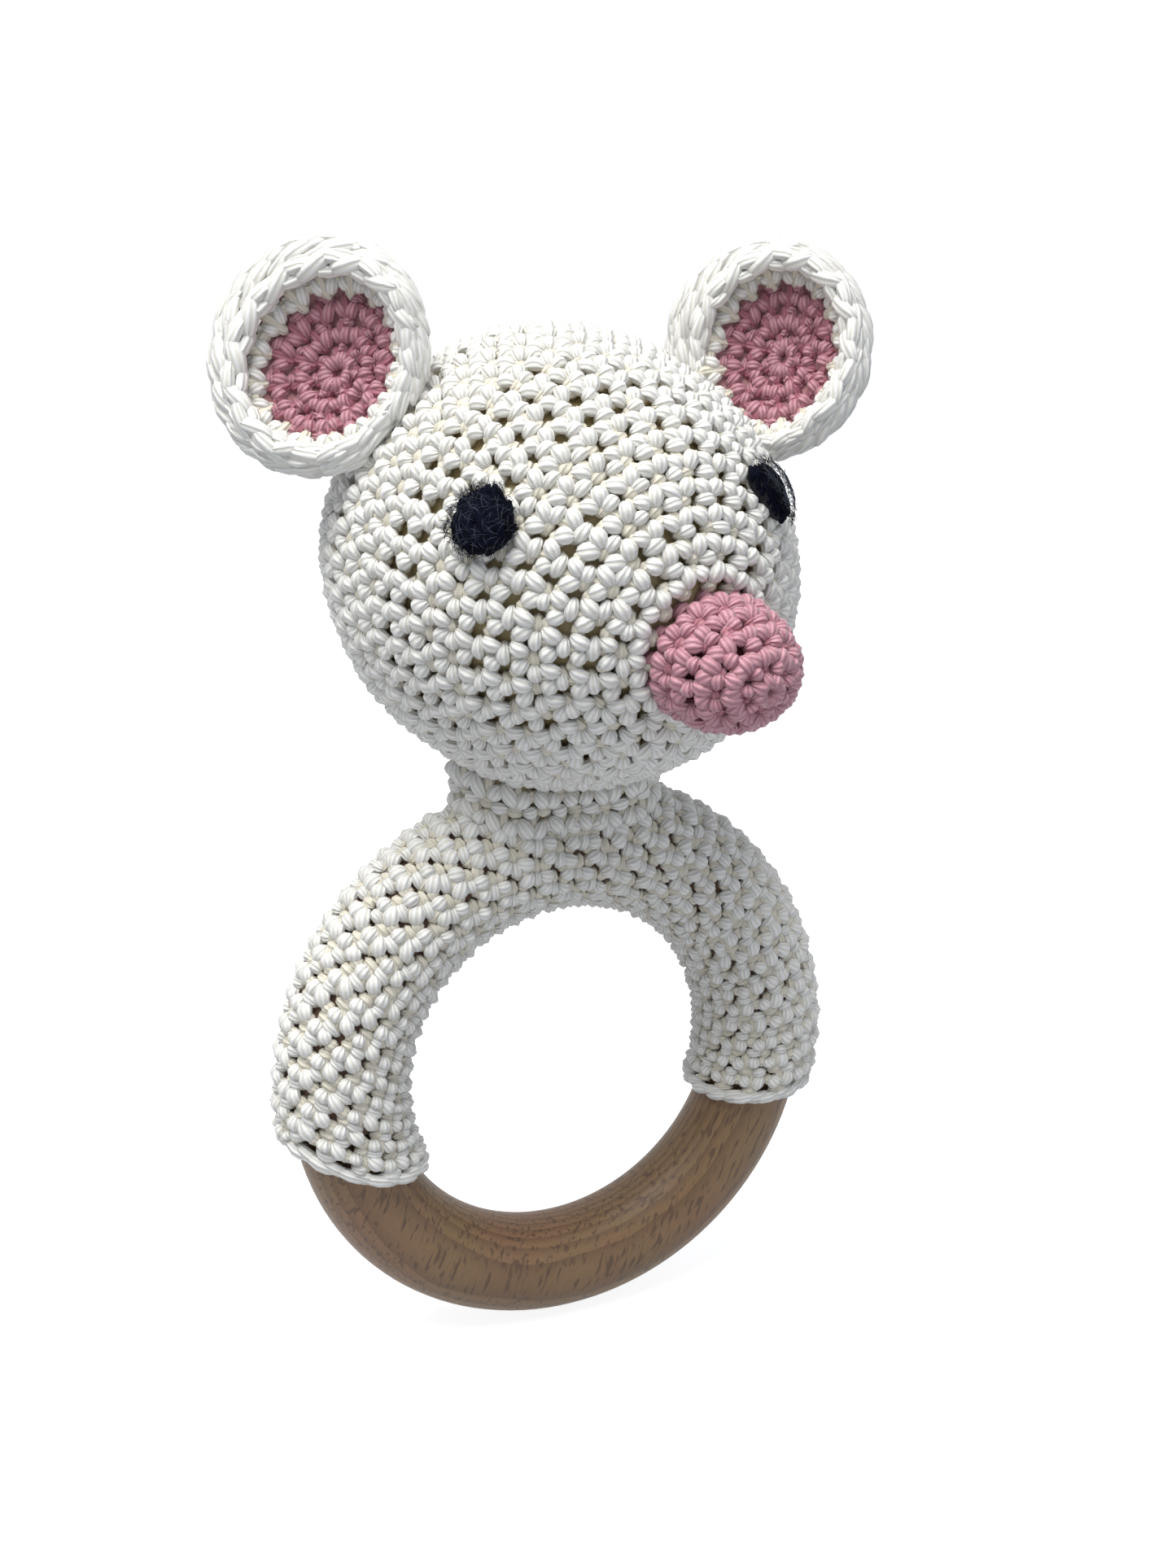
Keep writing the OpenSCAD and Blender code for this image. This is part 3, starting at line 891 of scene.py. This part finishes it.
def make_ear(name, where, look, lean, narrow_most):
    """Cupped ear: pink rounds, a white round that curls forward, and a braided edge, on both faces of
    the fabric. lean is the direction in the ear's face in which the cup is pushed over, and
    narrow_most how narrow its middle is in that direction."""
    out = aim(*where)
    middle = HEAD_MIDDLE + out * (egg_reach(out) + EAR_D / 2 - EAR_SINK)
    face = aim(*look)
    level = Vector((0, 0, 1)).cross(face).normalized()
    top = face.cross(level)
    push = level * math.cos(math.radians(lean)) + top * math.sin(math.radians(lean))
    lengths, radii, heights = zip(*EAR_PROFILE)

    def cup(length, angle):
        """Point in the middle of the ear's fabric."""
        radius = float(np.interp(length, lengths, radii))
        height = float(np.interp(length, lengths, heights))
        share = min(1.0, length / EAR_MOUTH)
        away = (level * math.cos(angle) + top * math.sin(angle)) * radius
        narrow = narrow_most + (EAR_MOUTH_NARROW - narrow_most) * share
        away += top * away.dot(top) * (EAR_TALL - 1)
        away -= push * away.dot(push) * (1 - narrow)
        pushed = push * (EAR_PUSH - EAR_MOUTH_PUSH * share)
        return middle + away + pushed + face * height + top * EAR_LIFT

    def cup_face(length, angle, inner):
        """Point on one face of the ear's fabric and its outward direction."""
        length = max(0.4, length)
        point = cup(length, angle)
        up = cup(length + 0.2, angle) - cup(length - 0.2, angle)
        along = cup(length, angle + 0.05) - cup(length, angle - 0.05)
        towards = along.cross(up).normalized()
        if towards.dot(middle + face * 9 - point) < 0:
            towards = -towards
        if not inner:
            towards = -towards
        return point + towards * EAR_WALL, towards

    white, pink, rim = [], [], []
    for number, (colour, stitches, length, tall) in enumerate(EAR_ROUNDS):
        for inner in (True, False):
            for stitch in range(stitches):
                centre = (stitch + number * ROUND_SHIFT) / stitches * 2 * math.pi

                def spot(across, along):
                    """Point on the inner or outer face of the ear."""
                    angle = centre + across * 2 * math.pi / stitches
                    return cup_face(length + along * tall, angle, inner)

                if not in_egg(spot(0, 0)[0], 0.6):
                    work_stitch(pink if colour == "pink" else white, spot, EAR_STRANDS, wobble=0.08)

    def sewn(angle):
        """From 0 where the edge stands free to 1 where it is sewn to the head and thins out."""
        away = level * math.cos(angle) + top * math.sin(angle)
        return max(0.0, min(1.0, (-away.dot(out) - SEWN_FROM) / SEWN_OVER))

    def hem(angle, share):
        """Centre of a strand near the ear's edge: share 0 is the braid, 1 the curled outer side."""
        away = level * math.cos(angle) + top * math.sin(angle)
        inner = cup(HEM_LENGTH, angle) + face * (HEM_FORWARD - HEM_SEWN[0] * sewn(angle))
        wide = (away + top * away.dot(top) * (EAR_TALL - 1)) * (EAR_D / 2 - HEM_INSET)
        outer = middle + wide - face * (HEM_BACK + HEM_SEWN[1] * sewn(angle)) + top * EAR_LIFT
        return inner.lerp(outer, share), away

    for share, radius, links, rows in HEM_RINGS:
        step = 2 * math.pi / links
        for link in range(links):
            for facing, offset, slant in rows:
                tilt = math.radians(facing)

                def spot(across, along):
                    """Point on the strand; along goes round the strand's own section."""
                    centre, away = hem((link + offset + across) * step, share)
                    turn = tilt + along
                    cross = away * math.cos(turn) + face * math.sin(turn)
                    thin = 1 - HEM_THIN * sewn((link + offset) * step)
                    return centre + cross * radius * thin, cross

                if not in_egg(spot(0, 0)[0], 0.3):
                    reach, rise = HEM_REACH[0], HEM_REACH[1] * slant
                    work_stitch(rim, spot, ((-reach, -rise, reach, rise, HEM_STRAND_W, 0.0),))

    make_ear_core(name, cup, face)
    yarn_piece(name + "_pink_rounds", pink, shaded_pink_yarn, "toy", [name + "_centre"])
    yarn_piece(name + "_white_rounds", white, white_yarn, "toy", [name + "_cup"])
    yarn_piece(name + "_braided_rim", rim, white_yarn, "toy", [name + "_rim"])


def make_ear_core(name, cup, face):
    """Thin layer inside the ear's fabric, so that no light falls through its holes; its colour is painted
    shade.
    """
    bm = bmesh.new()
    bmesh.ops.create_circle(bm, cap_ends=True, cap_tris=True, segments=48, radius=1)
    bmesh.ops.subdivide_edges(bm, edges=bm.edges[:], cuts=7, use_grid_fill=True)
    for vert in bm.verts:
        vert.co = cup(min(1.0, vert.co.length) * EAR_CORE_LENGTH, math.atan2(vert.co.y, vert.co.x))
    inside = [f for f in bm.faces if in_egg(f.calc_center_median(), -1.0)]
    bmesh.ops.delete(bm, geom=inside, context="FACES")
    for part in bm.faces:
        part.normal_update()
        if part.normal.dot(face) < 0:
            part.normal_flip()
    bmesh.ops.solidify(bm, geom=bm.faces[:], thickness=LINING)
    bmesh.ops.recalc_face_normals(bm, faces=bm.faces)
    finish_piece(bm, name + "_fabric_core", ear_hole_shade, "toy")


make_ear("ear_left", (90, 39), (-38, 16), -12, 0.70)
make_ear("ear_right", (-93, 40.5), (-38, 18), -42, 0.74)


# ---------- Eyes ----------
# Outlines of the embroidered eyes: radius at equal angles from the mouse's left.
EYE_LEFT_OUTLINE = (2.2, 2.3, 3.0, 3.9, 2.4, 2.0, 2.5, 3.8, 3.0)
EYE_RIGHT_OUTLINE = (3.7, 3.5, 3.9, 3.1, 3.2, 3.9, 3.7, 3.8, 4.0)
# Layers of wool: the strands' direction in degrees, the layer's height and how many strands.
EYE_LAYERS = ((50, 0.35, 8), (100, 0.75, 8), (20, 1.0, 5), (125, 1.15, 5))
EYE_SPREAD = 3.3           # from the eye's middle to the outermost strand of a layer
EYE_STRAND = (1.35, 1.0)   # width and height of a strand
EYE_HEIGHT = 1.3           # half height of the pad, which sits EYE_SET_IN deep
EYE_SET_IN = 0.3
PAD_INSET = 0.35
HAIR_D = 0.07
HAIR_HALF = (0.4, 1.1)     # shortest and longest half length of a hair
HAIRS = 320
HIGHLIGHT_HAIRS = 110          # of them, the ones that catch the light, which get a painted highlight colour; they lie all over the eye
HAIR_RISE = 1.75           # the hairs' height over the eye's middle, and how much less at HAIR_EDGE
HAIR_DROP = 1.0
HAIR_EDGE = 3.6


def make_eye(name, where, outline):
    """Embroidered eye: layers of wool strands over a pad, with loose hairs that stand off it."""
    out = aim(*where)
    point = HEAD_MIDDLE + out * egg_reach(out)
    normal = egg_normal(point, (point - HEAD_MIDDLE).dot(AHEAD))
    level = Vector((0, 0, 1)).cross(normal).normalized()
    top = normal.cross(level)
    corners = [math.radians(360 / len(outline) * number) for number in range(len(outline) + 1)]

    def radius_at(angle):
        """Radius of the eye's outline at an angle."""
        return float(np.interp(angle % (2 * math.pi), corners, (*outline, outline[0])))

    def inside(x, y):
        """True inside the eye's outline."""
        return math.hypot(x, y) < radius_at(math.atan2(y, x))

    strands, hairs = [], []
    for degrees, rise, count in EYE_LAYERS:
        lean = math.radians(degrees)
        along, across = Vector((math.cos(lean), math.sin(lean))), Vector((-math.sin(lean), math.cos(lean)))
        for number in range(count):
            place = ((number + 0.5) / count * 2 - 1) * EYE_SPREAD + rng.uniform(-0.15, 0.15)
            steps = [0.1 * step for step in range(-45, 46)]
            held = [t for t in steps if inside(*(across * place + along * t))]
            # A strand too short to hold is left out.
            if len(held) < 12:
                continue
            ends = []
            for t in (held[0], held[-1]):
                flat = across * (place + rng.uniform(-0.25, 0.25)) + along * t * rng.uniform(0.92, 1.03)
                ends.append(point + level * flat.x + top * flat.y)
            crown = normal * (rise - 0.05 * place**2)
            lay(strands, ends[0] + crown, ends[1] + crown, normal, *EYE_STRAND)
    for number in range(HAIRS):
        # Painted highlight: the first hairs go to the lighter hair material.
        light = number < HIGHLIGHT_HAIRS
        angle = rng.uniform(0, 2 * math.pi)
        off = radius_at(angle) * (math.sqrt(rng.random()) if light else rng.uniform(0.88, 1.12))
        rise = HAIR_RISE - HAIR_DROP * (off / HAIR_EDGE) ** 2
        base = point + (level * math.cos(angle) + top * math.sin(angle)) * off + normal * rise
        turn = rng.uniform(0, 2 * math.pi)
        flat = level * math.cos(turn) + top * math.sin(turn)
        along = (flat + normal * rng.uniform(-0.25, 0.2)).normalized()
        half = along * rng.uniform(*HAIR_HALF)
        lay(hairs if light else strands, base - half, base + half, normal, HAIR_D, HAIR_D, 0.0, fine_fibre)

    def pad_point(unit):
        """Point of the pad for a point of the unit ball, whose Z points out of the head."""
        wide = radius_at(math.atan2(unit.y, unit.x)) - PAD_INSET
        return point + (level * unit.x + top * unit.y) * wide + normal * (unit.z * EYE_HEIGHT - EYE_SET_IN)

    finish_piece(make_ball(36, 16, pad_point), name + "_pad", eye_backing, "toy")
    yarn_piece(name + "_wool_strands", strands, navy_wool, "toy", [name])
    yarn_piece(name + "_wool_hairs", hairs, hair_highlight, "toy")


make_eye("eye_left", (32.2, 17.9), EYE_LEFT_OUTLINE)
make_eye("eye_right", (-38.0, 15.8), EYE_RIGHT_OUTLINE)


# ---------- Wooden ring ----------
def make_wood():
    """Turned and sanded ring of round section."""
    bm = bmesh.new()
    bmesh.ops.create_circle(bm, segments=48, radius=WOOD_R)
    bmesh.ops.translate(bm, vec=(RING_PATH_R, 0, 0), verts=bm.verts)
    bmesh.ops.spin(
        bm,
        geom=bm.verts[:] + bm.edges[:],
        cent=(0, 0, 0),
        axis=(0, 1, 0),
        angle=math.radians(360),
        steps=128,
        use_merge=True,
    )
    bmesh.ops.recalc_face_normals(bm, faces=bm.faces)
    finish_piece(bm, "beech_ring", beech, "ring", ["wooden_ring"])


make_wood()


# ---------- Hidden rattle ----------
for node, material in (
    ("rattle_shell_lower", capsule_plastic),
    ("rattle_shell_upper", capsule_plastic),
    *((f"pellet_{number}", pellet_plastic) for number in range(1, 6)),
):
    nodes[node].data.materials.clear()
    nodes[node].data.materials.append(material)


# ---------- Floor, light and view ----------
FLOOR_HEIGHT = -0.0352     # in metres, just under the toy
FLOOR_SIZE = 3
FLOOR_GLOW = 0.86          # how bright the floor is by itself where it is seen
SKY_LIGHT = 0.33           # how strongly the surround lights the toy


def background_seen(tree):
    """Socket that is 1 where the background is seen, straight or mirrored or through, and 0 where it
    lights something."""
    rays = add(tree, "ShaderNodeLightPath")
    seen = add(
        tree,
        "ShaderNodeMath",
        {0: rays.outputs["Is Camera Ray"], 1: rays.outputs["Is Glossy Ray"]},
        operation="MAXIMUM",
    )
    seen_too = add(
        tree,
        "ShaderNodeMath",
        {0: seen.outputs[0], 1: rays.outputs["Is Transmission Ray"]},
        operation="MAXIMUM",
    )
    return seen_too.outputs[0]


def make_floor():
    """Plain pale floor that keeps the toy's shadow."""
    material, tree = new_material("studio_floor")
    glow = add(tree, "ShaderNodeMath", {0: background_seen(tree), 1: FLOOR_GLOW}, operation="MULTIPLY")
    close_material(
        tree,
        {
            "Base Color": rgb("#B4B6BA"),
            "Roughness": 1.0,
            "Emission Color": (1, 1, 1, 1),
            "Emission Strength": glow.outputs[0],
        },
    )
    bm = bmesh.new()
    bmesh.ops.create_grid(bm, x_segments=1, y_segments=1, size=FLOOR_SIZE)
    bmesh.ops.translate(bm, vec=(0, 0, FLOOR_HEIGHT), verts=bm.verts)
    mesh = bpy.data.meshes.new("floor")
    bm.to_mesh(mesh)
    bm.free()
    mesh.materials.append(material)
    put_in_scene("floor", mesh)


def make_surround():
    """White where it is seen, and softly bluish where it lights the toy."""
    world = bpy.data.worlds.new("surround")
    bpy.context.scene.world = world
    world.use_nodes = True
    tree = world.node_tree
    tree.nodes.clear()
    seen = background_seen(tree)
    strength = add(tree, "ShaderNodeMapRange", {0: seen, 1: 0.0, 2: 1.0, 3: SKY_LIGHT, 4: 1.0})
    colour = mix(tree, seen, rgb("#EEF4FF"), rgb("#FFFFFF"))
    shine = add(tree, "ShaderNodeBackground", {"Color": colour, "Strength": strength.outputs[0]})
    add(tree, "ShaderNodeOutputWorld", {"Surface": shine.outputs[0]})


def lamp(name, place, target, size, power, colour):
    """Soft square lamp that looks at a point; its places and size are in metres."""
    data = bpy.data.lights.new(name, "AREA")
    data.size = size
    data.energy = power
    data.color = rgb(colour)[:3]
    look = (Vector(target) - Vector(place)).to_track_quat("-Z", "Y")
    light = put_in_scene(name, data)
    light.matrix_world = Matrix.Translation(Vector(place)) @ look.to_matrix().to_4x4()


make_floor()
make_surround()
lamp("key_lamp", (-0.20, -0.12, 0.66), (0, 0, 0.06), 0.5, 6.3, "#FFFEFA")
lamp("fill_lamp", (0.5, -0.9, 0.35), (0, 0, 0.04), 0.8, 1.0, "#EEF4FF")
set_camera()
bpy.context.scene.view_settings.view_transform = "Standard"
